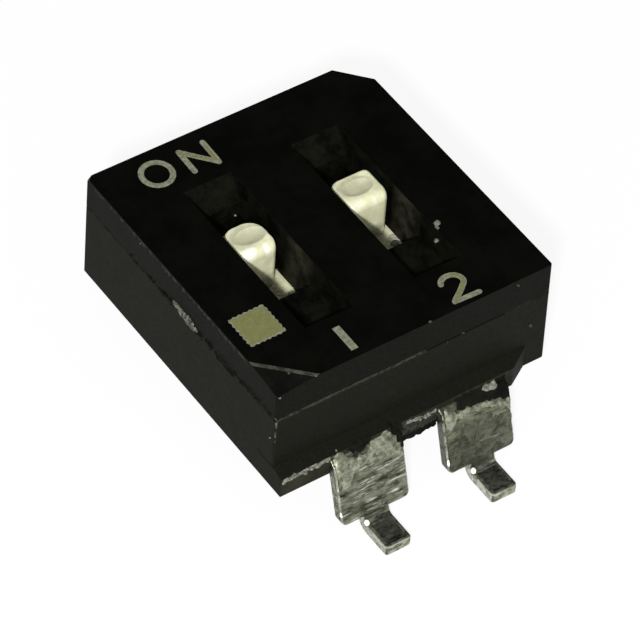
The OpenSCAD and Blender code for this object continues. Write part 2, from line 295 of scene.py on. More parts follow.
black_nylon = make_black_nylon("black_glass_filled_nylon", "#040403", "#080806", mirror=1.15)
# The worn edge is lighter partly from scuffs and partly as painted sheen, on edges and on the index facet.
worn_and_sheen_nylon = make_black_nylon("black_nylon_worn_edge_and_painted_sheen", "#080807", "#12120f", scuff=0.18)
# Its grey is also the painted highlight on the index crease and on the front left upright edge, and colours
# dull crumbs.
scraped_and_highlight_nylon = make_black_nylon("black_nylon_scraped_grey_and_painted_highlight", "#2c2c27", "#4e4e46", mirror=1.1, patch=0.15)
chalky_nylon = make_black_nylon("black_nylon_chalky_burr", "#33332e", "#5c5c53", scuff=0.75, mirror=1.1)
# Inside the slots: a lighter black, with the painted reflection of the knobs on the right walls.
slot_nylon_with_reflection = make_black_nylon("black_nylon_in_slot_painted_reflection", "#050504", "#13130e", 0.55, 0.0, 1.1, 0.4, True)
# Also paints shadow: black patches over the leads' bends and the curtain under the ledge.
rough_nylon = make_black_nylon("black_nylon_torn_flash_and_painted_shadow", "#0a0a08", "#161613", gloss=0.65, mirror=1.12)
# Painted sheen: the walls are a lighter black than the top, where they mirror the bright floor.
base_wall_sheen_nylon = make_black_nylon("black_nylon_walls_painted_sheen", "#141411", "#1a1a15", 0.55, 0.0, 1.1, 0.07)
cover_wall_sheen_nylon = make_black_nylon("black_nylon_cover_walls_painted_sheen", "#0e0e0c", "#141411", 0.55, 0.0, 1.1, 0.07)
# Also paints a lighter sheen along the top edge of the left wall.
dulled_and_sheen_nylon = make_black_nylon("black_nylon_dulled_edge_and_painted_sheen", "#1c1c18", "#383831", 0.6, 0.0, 1.08, 0.1)
thread_nylon = make_black_nylon("black_nylon_flash_thread", "#0e0e0c", "#201f1b", 0.6, 0.0, 1.08, 0.16)
print("made", black_nylon.name, "and nine other states of it")

# %% [markdown]
# The sliders: ivory nylon
#
# The actuators are moulded in uncoloured nylon, which is ivory and lets a little light in. A small amount
# of subsurface scattering softens its edges, and the gloss is that of a fingered, slightly worn plastic.
# Both knobs carry painted highlights on the nose, a top greyed partly by grime and partly as painted shade,
# and painted shade with some grime low down. The first knob's painted highlights are brighter, and the second
# is less worn and duller.


# %% Ivory nylon
def add_painted_light_and_grime(tree, tone, highlight_colours):
    """Adds painted highlights at the nose, a top greyed partly by grime and partly as painted shade, and
    painted shade with some grime low down.
    """
    highlight_tone = two_tones(tree, cloud(tree, 0.05), *highlight_colours)
    high = add(tree, "ShaderNodeMath", {0: 1.0, 1: below(tree, 3.72, 0.06)}, operation="SUBTRACT")
    # The two oval spots on the upper nose are painted highlights.
    for middle, size in (((-0.26, 0.13), (0.17, 0.1)), ((0.13, 0.08), (0.06, 0.09))):
        spot = slider_spot(tree, middle, size, 0.9, 0.3)
        painted_highlight = add(tree, "ShaderNodeMath", {0: spot, 1: high.outputs["Value"]}, operation="MULTIPLY")
        tone = blend(tree, painted_highlight.outputs["Value"], tone, highlight_tone)
    # The greyed top of the knob is partly finger grime and partly painted shade.
    greyed_top = two_tones(tree, cloud(tree, 0.2, 4.0), "#b7b79a", "#cfcfb2")
    top_patch = slider_spot(tree, (-0.03, 0.53), (0.4, 0.27), 0.35, 0.1)
    top = add(tree, "ShaderNodeMath", {0: 1.0, 1: below(tree, 3.9, 0.012)}, operation="SUBTRACT")
    greyed = add(tree, "ShaderNodeMath", {0: top_patch, 1: top.outputs["Value"]}, operation="MULTIPLY")
    tone = blend(tree, greyed.outputs["Value"], tone, greyed_top)
    # Painted shade with some grime: the left slot wall's shadow on the deck's left side and the front wall's
    # shadow at the deck's end.
    shade_and_grime = two_tones(tree, cloud(tree, 0.045, 4.0, 0.7), "#707054", "#b6b69a", 0.38, 0.62)
    for middle, size in (((-0.25, 0.2), (0.6, 1.6)), ((0.0, -0.75), (1.2, 0.53))):
        shaded_low = add(
            tree,
            "ShaderNodeMath",
            {0: slider_spot(tree, middle, size, 0.4, 0.1), 1: below(tree, 3.1, 0.12)},
            operation="MULTIPLY",
        )
        tone = blend(tree, shaded_low.outputs["Value"], tone, shade_and_grime)
    return tone


def make_ivory_nylon(name, dark, light, gloss, highlight_colours=None):
    made, tree = new_material(name)
    tone = two_tones(tree, cloud(tree, 0.35, 4.0), dark, light)
    if highlight_colours:
        tone = add_painted_light_and_grime(tree, tone, highlight_colours)
    bump = add(
        tree,
        "ShaderNodeBump",
        {"Height": cloud(tree, 0.13, 4.0, 0.6), "Strength": 0.6, "Distance": 0.014 * MM},
    )
    shader = add(
        tree,
        "ShaderNodeBsdfPrincipled",
        {
            "Base Color": tone,
            "Roughness": gloss,
            "IOR": 1.5,
            "Subsurface Weight": 0.15,
            "Subsurface Radius": (1.0, 0.9, 0.55),
            "Subsurface Scale": 0.15 * MM,
            "Normal": bump.outputs["Normal"],
        },
    )
    add(tree, "ShaderNodeOutputMaterial", {"Surface": shader.outputs["BSDF"]})
    return made


# The first knob has brighter painted highlights, the second fainter ones.
highlighted_ivory = make_ivory_nylon(
    "ivory_nylon_painted_highlights", "#cdcda9", "#e8e8c2", 0.2, ("#ecebd6", "#fcfcf2")
)
ivory_nylon = make_ivory_nylon("ivory_moulded_nylon", "#cfcfab", "#e8e8c2", 0.29, ("#dddcc0", "#ebead0"))
# Greyed top: partly grime and partly painted shade.
greyed_top_ivory = make_ivory_nylon("ivory_nylon_greyed_top_grime_and_shade", "#b4b496", "#c8c8a8", 0.42)
grey_shavings = make_ivory_nylon("greyed_nylon_shavings", "#8a8a7b", "#b8b8a6", 0.6)
dark_pellet_nylon = make_ivory_nylon("dark_grey_nylon_pellet", "#3f3f39", "#55554d", 0.6)
print("made", highlighted_ivory.name, ivory_nylon.name, "and", grey_shavings.name)

# %% [markdown]
# The leads: tin-plated bronze sheet
#
# The leads are stamped from phosphor bronze and plated with tin, which goes dull and olive grey with age.
# The tool drags across the sheet as it bends it, so most scratches run along the row, about 0.05 mm apart.
# Fresh tin shows in the scratches: there the metal is much brighter than its grey skin. Bright tin on the
# rounded edges is partly worn edge and partly a painted edge highlight.
# streak turns the scratches, and fresh says how much bright tin shows.


# %% Dull tin with bright scratches
def make_tin(
    name, dark, light, bright, streak=0.0, fresh=0.3, gloss=0.42, patch=0.3, swirl=0.0, relief=0.012, run=0.35
):
    made, tree = new_material(name)
    along_row = (0.14, 1.0, 1.0)
    drawn = cloud(tree, 0.06, 4.0, 0.65, along_row, (0.0, streak, 0.0))
    smears = cloud(tree, patch, 5.0, 0.66, (run, 1.0, 1.0), (0.0, streak, 0.0), swirl)
    skin = two_tones(tree, smears, dark, light, 0.38, 0.62)
    start = 0.74 - 0.42 * fresh
    shine = two_tones(tree, drawn, "#000000", "#ffffff", start, start + 0.12)
    new_tin = two_tones(tree, cloud(tree, 0.05), bright, bright)
    bump = add(tree, "ShaderNodeBump", {"Height": drawn, "Strength": 0.7, "Distance": relief * MM})
    lumps = add(
        tree,
        "ShaderNodeBump",
        {
            "Height": smears,
            "Strength": 0.5,
            "Distance": 2 * relief * MM,
            "Normal": bump.outputs["Normal"],
        },
    )
    shader = add(
        tree,
        "ShaderNodeBsdfPrincipled",
        {
            "Base Color": blend(tree, shine, skin, new_tin),
            "Metallic": 1.0,
            "Roughness": gloss,
            "Normal": lumps.outputs["Normal"],
        },
    )
    add(tree, "ShaderNodeOutputMaterial", {"Surface": shader.outputs["BSDF"]})
    return made


scratched_tin = make_tin(
    "dull_tin_scratched_along_the_row", "#34372a", "#8d907d", "#d6d9c6", 3.0, 0.42, patch=0.12
)
smeared_tin = make_tin(
    "dull_tin_smeared_smooth", "#404336", "#6d7061", "#aaad99", 28.0, 0.2, 0.42, patch=0.2, swirl=1.6, run=0.7
)
foot_tin = make_tin(
    "dark_tin_on_the_feet", "#333532", "#828479", "#bcbeb0", 60.0, 0.22, 0.5, patch=0.15, relief=0.01, run=0.7
)
rim_tin = make_tin(
    "olive_tin_at_the_rim_of_the_feet", "#595a4a", "#b6b7a0", "#dcdecd", 60.0, 0.34, 0.46, patch=0.1, run=0.7
)
# Bright tin for rounded edges and the feet's left cuts: partly wear and partly a painted edge highlight.
bright_edge_tin = make_tin("bright_tin_worn_edges_and_painted_highlight", "#6c6e61", "#c6c8b8", "#e6e8d8", 0.0, 0.3, 0.34, patch=0.14)
creeping_tin = make_tin(
    "tin_film_under_the_crust", "#3d4034", "#83866f", "#b9bca6", 20.0, 0.3, 0.5, patch=0.09
)
print("made six states of tin")

# %% [markdown]
# Crust, print and the hidden metals
#
# Where a lead leaves the housing, tin and dried flux have crept over the plastic as a pale, dull crust.
# The marks are pad-printed in a pale ink that has yellowed to khaki. Inside the switch there are a spring
# of stainless wire and a gold-plated ball for each position.


# %% Crust, ink, spring steel and gold
def make_simple(name, dark, light, lump, gloss, metallic=0.0, relief=0.006):
    made, tree = new_material(name)
    bump = add(
        tree,
        "ShaderNodeBump",
        {"Height": cloud(tree, lump, 4.0, 0.65), "Strength": 0.7, "Distance": relief * MM},
    )
    shader = add(
        tree,
        "ShaderNodeBsdfPrincipled",
        {
            "Base Color": two_tones(tree, cloud(tree, lump, 4.0, 0.7), dark, light),
            "Metallic": metallic,
            "Roughness": gloss,
            "IOR": 1.4,
            "Normal": bump.outputs["Normal"],
        },
    )
    add(tree, "ShaderNodeOutputMaterial", {"Surface": shader.outputs["BSDF"]})
    return made


tin_crust = make_simple("tin_and_dried_flux_crust", "#505345", "#9b9e89", 0.11, 0.5, 0.6, 0.012)
pale_crumbs = make_simple("grey_flux_crumbs", "#45463d", "#85877a", 0.06, 0.6)
# White that paints the glints at the feet and on the plates' lower left edges.
glint_white = make_simple("white_painted_glint", "#f2f2e8", "#ffffff", 0.2, 0.3)
flux_film = make_black_nylon("black_nylon_under_flux_film", "#1e1e17", "#2e2e24", gloss=0.55, mirror=1.1)
khaki_ink = make_simple("khaki_pad_print", "#62634f", "#8b8c78", 0.07, 0.6, relief=0.002)
olive_ink = make_simple("olive_index_print", "#6b6b42", "#78784c", 0.07, 0.65, relief=0.002)
spring_steel = make_simple("stainless_spring_wire", "#a9a9a6", "#bdbdb9", 0.1, 0.25, 1.0, 0.001)
gold_plating = make_simple("gold_plating_on_ball", "#d8a94f", "#e6bd66", 0.2, 0.18, 1.0, 0.0005)
print("made", tin_crust.name, pale_crumbs.name, khaki_ink.name, olive_ink.name)

# %% [markdown]
# Working on small meshes
#
# Blender's mesh tools treat a few micrometres as nothing, and this whole switch is a few thousand of them
# wide. So each mesh is worked on in millimetres and shrunk to metres at the very end. The CAD arrives as
# triangles, and read_solid joins the flat ones again, which gives clean edges to round.


# %% Read a CAD solid in millimetres
def read_solid(node):
    solid = bmesh.new()
    solid.from_mesh(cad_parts[node].data)
    bmesh.ops.scale(solid, vec=(1 / MM,) * 3, verts=solid.verts)
    bmesh.ops.remove_doubles(solid, verts=solid.verts, dist=0.0004)
    bmesh.ops.dissolve_limit(solid, angle_limit=math.radians(0.4), verts=solid.verts, edges=solid.edges)
    return solid


def round_edges(solid, edges, width, segments=2):
    """Rounds the edges and returns the new faces."""
    made = bmesh.ops.bevel(
        solid,
        geom=edges,
        offset=width,
        offset_type="OFFSET",
        segments=segments,
        profile=0.5,
        affect="EDGES",
        clamp_overlap=True,
    )
    return made["faces"]


def sharp_edges(solid, sharpest=28):
    """Edges where two faces meet at more than the angle sharpest, in degrees."""
    limit = math.radians(sharpest)
    return [e for e in solid.edges if len(e.link_faces) == 2 and e.calc_face_angle(0) > limit]


print("base has", len(read_solid("base").faces), "faces before rounding")

# %% [markdown]
# Smooth shading that keeps flat faces flat
#
# A rounded edge only looks round if the light rolls over it. Each corner of a face gets a normal that is
# the average of its neighbours, weighted by their size, so the big flat faces win and stay flat.


# %% Turn a millimetre mesh into a piece
def finish_piece(solid, name, materials, body, crease=40, crisp=False):
    """With crisp, the border between two materials stays a sharp line."""
    solid.normal_update()
    limit = math.cos(math.radians(crease))
    normals = []
    for face in solid.faces:
        face.smooth = True
        for corner in face.loops:
            near = [f for f in corner.vert.link_faces if f.normal.dot(face.normal) > limit]
            if crisp:
                near = [f for f in near if f.material_index == face.material_index]
            total = sum((f.normal * f.calc_area() for f in near), Vector())
            normals.append(total.normalized() if total.length > 0 else face.normal.copy())
    bmesh.ops.scale(solid, vec=(MM,) * 3, verts=solid.verts)
    mesh = bpy.data.meshes.new(name)
    solid.to_mesh(mesh)
    solid.free()
    mesh.normals_split_custom_set(normals)
    for item in materials:
        mesh.materials.append(item)
    piece = bpy.data.objects.new(name, mesh)
    bpy.context.scene.collection.objects.link(piece)
    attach(piece, body)
    return piece


print("pieces are finished by finish_piece")

# %% [markdown]
# The base
#
# Moulded edges are never razor sharp. A radius of about 0.03 mm is what steel moulds leave, and it is what
# catches the thin line of light along the real one's edges. The rounded edges get the worn plastic, whose
# lighter tone is partly wear and partly painted sheen.

# %% Base
EDGE_RADIUS = 0.03

shell = read_solid("base")
for face in round_edges(shell, sharp_edges(shell), EDGE_RADIUS):
    face.material_index = 1
shell.normal_update()
for face in shell.faces:
    if abs(face.normal.y) > 0.99 and abs(face.calc_center_median().y) > 3.6:
        face.material_index = 2
piece = finish_piece(shell, "base_shell", [base_wall_sheen_nylon, worn_and_sheen_nylon, flux_film], "housing")
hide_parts("base")
print(piece.name, len(piece.data.polygons), "faces")

# %% [markdown]
# The cover
#
# The index facet on the cover's front left corner is so flat that its crease isn't sharp, so the crease
# is picked out: it lies between the top face and the only face that leans to the front left. The crease's
# grey is a painted highlight, and the facet's lighter worn plastic is partly painted sheen. Everything inside
# the two slots is a lighter black, with a painted reflection of the knobs on their right walls.

# %% Cover
shell = read_solid("cover")


def is_facet(face):
    return face.normal.z > 0.9 and face.normal.x < -0.05 and face.normal.y < -0.05


def in_slot(face):
    middle = face.calc_center_median()
    beside = abs(abs(middle.x) - PITCH / 2) < 0.6
    return beside and -2.4 < middle.y < 2.1 and middle.z < TOP - 0.01


shell.normal_update()
for face in shell.faces:
    # The facet's lighter worn plastic is partly painted sheen.
    if is_facet(face):
        face.material_index = 1
    elif in_slot(face):
        face.material_index = 3
    elif abs(face.normal.z) < 0.5:
        face.material_index = 4

def is_top(face):
    return face.normal.z > 0.999


crease_edges = [e for e in shell.edges if any(map(is_facet, e.link_faces)) and any(map(is_top, e.link_faces))]
# The crease's grey is a painted highlight, where light catches the crease.
for face in round_edges(shell, crease_edges, 0.042, 1):
    face.material_index = 2
slot_rims = [e for e in sharp_edges(shell) if any(f.material_index == 3 for f in e.link_faces)]
outer_edges = [e for e in sharp_edges(shell) if e not in set(slot_rims)]
for face in round_edges(shell, slot_rims + outer_edges, EDGE_RADIUS):
    if not in_slot(face) and face.calc_center_median().y < 2:
        face.material_index = 1
piece = finish_piece(
    shell,
    "cover_shell",
    [black_nylon, worn_and_sheen_nylon, scraped_and_highlight_nylon, slot_nylon_with_reflection, cover_wall_sheen_nylon],
    "housing",
    crease=36,
)
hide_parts("cover")
print(piece.name, len(piece.data.polygons), "faces,", len(crease_edges), "crease edges")

# %% [markdown]
# The leads
#
# The first front lead is scratched along the row and the second is smeared smooth. The feet are darker on
# top, and every rounded edge shows bright tin, partly worn and partly a painted edge highlight. The left side
# faces of the feet, where the shears cut them free, are bright tin too, partly as a painted highlight.

# %% Leads
LEAD_EDGE_RADIUS = 0.03
FOOT_TOP = 0.3
FOOT_RIM = 0.055


def is_foot(face):
    middle = face.calc_center_median()
    return middle.z < FOOT_TOP and abs(middle.y) > 4.2


def is_left_cut(face):
    middle = face.calc_center_median()
    return face.normal.x < -0.9 and middle.z < 0.45 and abs(middle.y) > 4.0


for side in ("front", "rear"):
    for n in (1, 2):
        lead = read_solid(f"terminal_{side}_{n}")
        lead.normal_update()
        for face in lead.faces:
            # The left cut faces of the feet get bright tin, partly as a painted highlight.
            if is_left_cut(face):
                face.material_index = 2
            elif is_foot(face):
                face.material_index = 1
        for face in round_edges(lead, sharp_edges(lead), LEAD_EDGE_RADIUS):
            face.material_index = 2
        lead.normal_update()
        tops = [f for f in lead.faces if f.material_index == 1 and f.normal.z > 0.99 and f.calc_area() > 0.1]
        for face in bmesh.ops.inset_individual(lead, faces=tops, thickness=FOOT_RIM)["faces"]:
            face.material_index = 3
        for face in lead.faces:
            if face.material_index == 1 and abs(face.normal.y) > 0.9:
                face.material_index = 3
        plate = scratched_tin if n == 1 else smeared_tin
        tins = [plate, foot_tin, bright_edge_tin, rim_tin]
        piece = finish_piece(lead, f"lead_{side}_{n}", tins, "housing")
        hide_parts(f"terminal_{side}_{n}")
        print(piece.name, len(piece.data.polygons), "faces")

# %% [markdown]
# The sliders and the parts inside
#
# The actuators keep their CAD shape with softened edges. The springs and balls stay as they are and only
# get their metals.

# %% Sliders, springs and balls
KNOB_EDGE_RADIUS = 0.03
KNOB_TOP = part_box("slider_1")[1].z / MM


def is_dish(face):
    """The dish is the only part near the knob's top whose corners lie below it."""
    middle = face.calc_center_median()
    across = (middle.x - math.copysign(PITCH / 2, middle.x)) / 0.352
    along = (middle.y - 0.49) / 0.212
    return face.normal.z > 0.8 and KNOB_TOP - 0.06 < middle.z < KNOB_TOP - 0.0004 and across**2 + along**2 < 1


for n in (1, 2):
    slider = read_solid(f"slider_{n}")
    round_edges(slider, sharp_edges(slider), KNOB_EDGE_RADIUS)
    slider.normal_update()
    for face in slider.faces:
        if is_dish(face):
            face.material_index = 1
    # The dish gets the greyed top, partly grime and partly painted shade.
    ivories = [highlighted_ivory if n == 1 else ivory_nylon, greyed_top_ivory]
    piece = finish_piece(slider, f"actuator_{n}", ivories, f"slide_{n}", crisp=True)
    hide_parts(f"slider_{n}")
    for node, metal in ((f"spring_{n}", spring_steel), (f"ball_{n}", gold_plating)):
        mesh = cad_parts[node].data
        mesh.materials.clear()
        mesh.materials.append(metal)
print("two actuators, two springs, two balls")

# %% [markdown]
# The print: strokes of ink
#
# The marks are real geometry, not an image. Each letter is a path, and a band of ink of constant width
# follows it. Strokes that cross lie at slightly different heights, so that they don't fight for the same
# plane. Places are measured from the housing's left and front walls, in millimetres.

# %% Ink bands and dots
INK_HEIGHT = 0.006
STROKE = 0.12
FRONT_EDGE = -3.37


def ink_slab(ink, outline, level):
    """A flat slab of ink over an outline given counter-clockwise."""
    top = TOP + INK_HEIGHT + 0.0006 * level
    low = [ink.verts.new((x + LEFT_WALL, y + FRONT_EDGE, TOP - 0.02)) for x, y in outline]
    high = [ink.verts.new((x + LEFT_WALL, y + FRONT_EDGE, top)) for x, y in outline]
    ink.faces.new(high)
    ink.faces.new(low[::-1])
    for i in range(len(outline)):
        j = (i + 1) % len(outline)
        ink.faces.new((low[i], low[j], high[j], high[i]))


def ink_band(ink, path, width, level=0):
    """One slab for each straight piece of a path, and a round dot of ink at each bend and end."""
    for i, (start, end) in enumerate(zip(path, path[1:])):
        start, end = Vector(start), Vector(end)
        along = (end - start).normalized()
        across = Vector((-along.y, along.x)) * width / 2
        ink_slab(ink, [start - across, end - across, end + across, start + across], level + i % 2)
    for i, point in enumerate(path):
        turns = [math.tau * k / 20 for k in range(20)]
        dot = [(point[0] + width / 2 * math.cos(t), point[1] + width / 2 * math.sin(t)) for t in turns]
        ink_slab(ink, dot, level + 2 + i % 2)


def ink_ribbon(ink, path, width, level=0, closed=False):
    """One smooth ribbon of constant width along a curved path."""
    top = TOP + INK_HEIGHT + 0.0006 * level
    points = [Vector(p) for p in path]
    count = len(points)
    rings = []
    for i, point in enumerate(points):
        before = points[i - 1] if closed or i > 0 else point
        after = points[(i + 1) % count] if closed or i < count - 1 else point
        along = (after - before).normalized()
        across = Vector((-along.y, along.x)) * width / 2
        sides = [point - across, point + across]
        ring = [(p, top) for p in sides] + [(p, TOP - 0.02) for p in sides[::-1]]
        rings.append([ink.verts.new((p.x + LEFT_WALL, p.y + FRONT_EDGE, z)) for p, z in ring])
    for i in range(count if closed else count - 1):
        first, second = rings[i], rings[(i + 1) % count]
        for k in range(4):
            m = (k + 1) % 4
            ink.faces.new((first[k], second[k], second[m], first[m]))
    if not closed:
        ink.faces.new(rings[0])
        ink.faces.new(rings[-1][::-1])


def arc(centre, radii, start, end, steps=20):
    """Points on an ellipse from one angle to another, in degrees."""
    angles = [math.radians(start + (end - start) * i / steps) for i in range(steps + 1)]
    return [(centre[0] + radii[0] * math.cos(a), centre[1] + radii[1] * math.sin(a)) for a in angles]


print("a stroke is", STROKE, "mm wide")

# %% [markdown]
# ON, 1, 2 and the index square
#
# ON marks the side to push a slider to, and each slot has its number at the other end. The small square
# beside slot 1 marks the first position. Its edges are jagged, because the pad printed it from dots. Where
# strokes meet the ink lies thicker, and its middle has stayed olive.

# %% Print the marks
ink = bmesh.new()
ring = arc((1.26, 6.087), (0.315, 0.325), 0, 350, 35)
zigzag = [(1.935, 5.76), (1.95, 6.37), (2.49, 5.735), (2.51, 6.36)]
hook = arc((4.51, 0.63), (0.235, 0.2), 160, -30) + [(4.53, 0.38), (4.27, 0.2)]
foot = [(4.26, 0.19), (4.82, 0.165)]
ink_ribbon(ink, ring, STROKE, closed=True)
ink_band(ink, zigzag, STROKE, 5)
ink_slab(ink, [(1.85, 0.19), (2.01, 0.19), (2.01, 0.85), (1.85, 0.85)], 0)
ink_ribbon(ink, hook, STROKE, 10)
ink_band(ink, [hook[0], hook[1]], STROKE, 11)
ink_band(ink, foot, 0.11, 12)
rim_faces = len(ink.faces)
ink_band(ink, [(1.95, 6.3), (2.47, 5.79), (2.5, 6.2)], 0.045, 20)
ink_ribbon(ink, hook[9:], 0.055, 20)
ink.faces.ensure_lookup_table()
for face in ink.faces[rim_faces:]:
    face.material_index = 1
marks = finish_piece(ink, "printed_marks", [khaki_ink, olive_ink], "housing", crease=5)

square = bmesh.new()
TEETH = 13
SIDE = 0.8
corners = [(0.28, 1.27), (0.28 + SIDE, 1.27), (0.28 + SIDE, 1.27 + SIDE), (0.28, 1.27 + SIDE)]
jagged = []
for i, corner in enumerate(corners):
    start, end = Vector(corner), Vector(corners[(i + 1) % 4])
    out = Vector((end.y - start.y, start.x - end.x)).normalized()
    for k in range(TEETH):
        tooth = 0.02 if k % 2 else -0.008
        jagged.append(start + (end - start) * k / TEETH + out * (tooth if k else 0))
ink_slab(square, jagged, 0)
inside = [(0.31, 1.3), (0.25 + SIDE, 1.3), (0.25 + SIDE, 1.24 + SIDE), (0.31, 1.24 + SIDE)]
ink_slab(square, inside, 3)
square.faces.ensure_lookup_table()
for face in square.faces[2 + len(jagged) :]:
    face.material_index = 1
index_mark = finish_piece(
    square, "printed_index_square", [khaki_ink, olive_ink], "housing", crease=5
)
print("marks", len(marks.data.polygons) + len(index_mark.data.polygons), "faces")

# %% [markdown]
# Touching the parts
#
# Crumbs and flash must sit on the parts, so their places are found by touch. A ray goes in from one side
# and stops at the first CAD face, or the nearest face to a point is taken.


# %% Skins to touch
def make_skin(*nodes):
    solid = bmesh.new()
    for node in nodes:
        solid.from_mesh(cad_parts[node].data)
    bmesh.ops.scale(solid, vec=(1 / MM,) * 3, verts=solid.verts)
    skin = BVHTree.FromBMesh(solid)
    solid.free()
    return skin


def ray_from(side, a, b):
    """Start and direction of a ray: a and b are X and Z from the front, and Y and Z from the left."""
    if side == "front":
        return Vector((a, -9, b)), Vector((0, 1, 0))
    return Vector((-9, a, b)), Vector((1, 0, 0))


housing_skin = make_skin("base", "cover", "terminal_front_1", "terminal_front_2")
slider_skin = make_skin("slider_2")
point = housing_skin.ray_cast(*ray_from("front", 0, SEAM))[0]
print("the front wall is at y =", round(point.y, 3))

# %% [markdown]
# Crust: a thin ragged skin
#
# Crust covers the area inside an outline, seen from one side. It is a grid of points that rise from the
# surface by an uneven height inside the outline, and dip just under it outside. The border between the
# two gets its ragged line from noise.


# %% Grow a crust
def inside_depth(outline, a, b):
    """Distance to the outline: positive inside it, negative outside."""
    here = Vector((a, b))
    inside = False
    nearest = 9.0
    for i, first in enumerate(outline):
        second = outline[(i + 1) % len(outline)]
        if (first[1] > b) != (second[1] > b):
            crossing = first[0] + (b - first[1]) / (second[1] - first[1]) * (second[0] - first[0])
            inside = inside != (a < crossing)
        start, along = Vector(first), Vector(second) - Vector(first)
        share = min(1, max(0, (here - start).dot(along) / along.length_squared))
        nearest = min(nearest, (here - start - along * share).length)
    return nearest if inside else -nearest


def crust(heap, skin, side, outline, height, cell=0.022, ragged=0.05, seed=0, soft=0.07):
    low = [min(p[i] for p in outline) - 0.06 for i in (0, 1)]
    high = [max(p[i] for p in outline) + 0.06 for i in (0, 1)]
    columns = int((high[0] - low[0]) / cell) + 1
    rows = int((high[1] - low[1]) / cell) + 1
    grid = {}
    for i in range(columns + 1):
        for j in range(rows + 1):
            a, b = low[0] + i * cell, low[1] + j * cell
            here = Vector((a, b, seed))
            wobble = noise.noise(here / 0.09) + 0.35 * noise.noise(here / 0.035)
            depth = inside_depth(outline, a, b) + ragged * wobble
            point, normal, _, _ = skin.ray_cast(*ray_from(side, a, b))
            if depth < -0.04 or point is None:
                continue
            lump = 0.65 + 0.6 * noise.noise(Vector((a, b * 1.8, seed + 9)) / 0.15)
            lift = height * lump * min(1, depth / soft) if depth > 0 else -0.01
            grid[i, j] = heap.verts.new(point + normal * max(lift, -0.01))
    corners = ((0, 0), (1, 0), (1, 1), (0, 1)) if side == "front" else ((0, 0), (0, 1), (1, 1), (1, 0))
    for i, j in list(grid):
        cell_verts = [grid.get((i + di, j + dj)) for di, dj in corners]
        if all(cell_verts):
            heap.faces.new(cell_verts)


print("depth in the middle of a unit square:", inside_depth([(0, 0), (1, 0), (1, 1), (0, 1)], 0.5, 0.5))

# %% [markdown]
# Crumbs: small rough lumps
#
# A crumb is a ball of 80 triangles, pulled out of shape by noise, turned at random and set down on the
# nearest face. A sprinkle is a row of crumbs along a line.


# %% Drop crumbs
dice = random.Random(4)


def crumb(heap, skin, place, size):
    point, normal, _, _ = skin.find_nearest(Vector(place))
    seed = dice.uniform(0, 50)
    turn = Matrix.Rotation(seed, 3, Vector((0.3, 0.5, 0.8)))
    squash = Vector((dice.uniform(0.9, 1.5), dice.uniform(0.7, 1.1), dice.uniform(0.6, 0.9)))
    for vert in bmesh.ops.create_icosphere(heap, subdivisions=2, radius=0.5)["verts"]:
        rough = 1 + 0.5 * noise.noise(vert.co * 2.4 + Vector((seed, 0, 0)))
        vert.co = point + normal * size * 0.2 + turn @ (vert.co * squash) * size * rough


def sprinkle(heap, skin, start, end, count, spread, sizes):
    for i in range(count):
        along = Vector(start).lerp(Vector(end), (i + dice.random()) / count)
        off = Vector([dice.uniform(-spread, spread) for _ in range(3)])
        crumb(heap, skin, along + off, dice.uniform(*sizes))


print("dice are set, first throw", round(dice.random(), 3))

# %% [markdown]
# Tin and flux that crept up over the ledge
#
# Outlines are X and Z in millimetres, seen from the front. On the first lead the crust runs up both ends
# of the bend and onto the ledge; on the second it hangs at the left edge and along the top of the plate,
# with a thin film of tin below it that fades into the plate.

# %% Tin crust
heap = bmesh.new()
lead_1_crust = [
    (-2.06, 1.5), (-2.06, 1.9), (-1.98, 1.96), (-1.86, 1.97), (-1.74, 1.80), (-1.62, 1.75), (-1.44, 1.73),
    (-1.25, 1.76), (-1.13, 1.85), (-0.98, 1.87), (-0.8, 1.95), (-0.7, 1.85), (-0.66, 1.65), (-0.52, 1.5),
    (-0.52, 1.3), (-0.75, 1.42), (-1.1, 1.45), (-1.5, 1.53), (-1.72, 1.4), (-1.86, 1.12), (-1.98, 1.2),
]
crust(heap, housing_skin, "front", lead_1_crust, 0.035, seed=1)
lead_2_crust = [
    (0.50, 1.35), (0.49, 1.7), (0.6, 1.78), (0.74, 1.72), (0.8, 1.66), (1.0, 1.67), (1.25, 1.64),
    (1.55, 1.61), (1.8, 1.52), (2.04, 1.38), (2.04, 1.24), (1.8, 1.34), (1.5, 1.48), (1.0, 1.53), (0.75, 1.5),
    (0.64, 1.3),
]
crust(heap, housing_skin, "front", lead_2_crust, 0.03, seed=5)
right_edge = [(1.93, 1.62), (2.04, 1.58), (2.05, 1.2), (1.95, 1.24)]
crust(heap, housing_skin, "front", right_edge, 0.035, seed=7, ragged=0.02)
splashes = finish_piece(heap, "tin_splashes", [tin_crust], "housing", crease=60)

heap = bmesh.new()
lead_2_film = [
    (0.49, 1.0), (0.49, 1.6), (0.8, 1.6), (1.5, 1.55), (2.0, 1.4), (2.04, 1.1), (1.8, 1.2), (1.5, 1.32),
    (1.0, 1.34), (0.78, 1.24), (0.66, 1.0), (0.6, 0.8),
]
crust(heap, housing_skin, "front", lead_2_film, 0.014, seed=15, ragged=0.14, soft=0.16)
film = finish_piece(heap, "tin_film", [creeping_tin], "housing", crease=60)
print(splashes.name, len(splashes.data.polygons), "faces,", film.name, len(film.data.polygons))

# %% [markdown]
# Moulding flash
#
# Flash is plastic that leaked between the halves of a mould. Black patches over part of each lead's bend are
# painted shadow under the ledge. Torn black flash sits beside the first lead, hangs under the ledge between
# the leads, and runs along the seam on the left wall, where a burr has been scraped to a pale grey.

# %% Black flash and the pale burr
heap = bmesh.new()
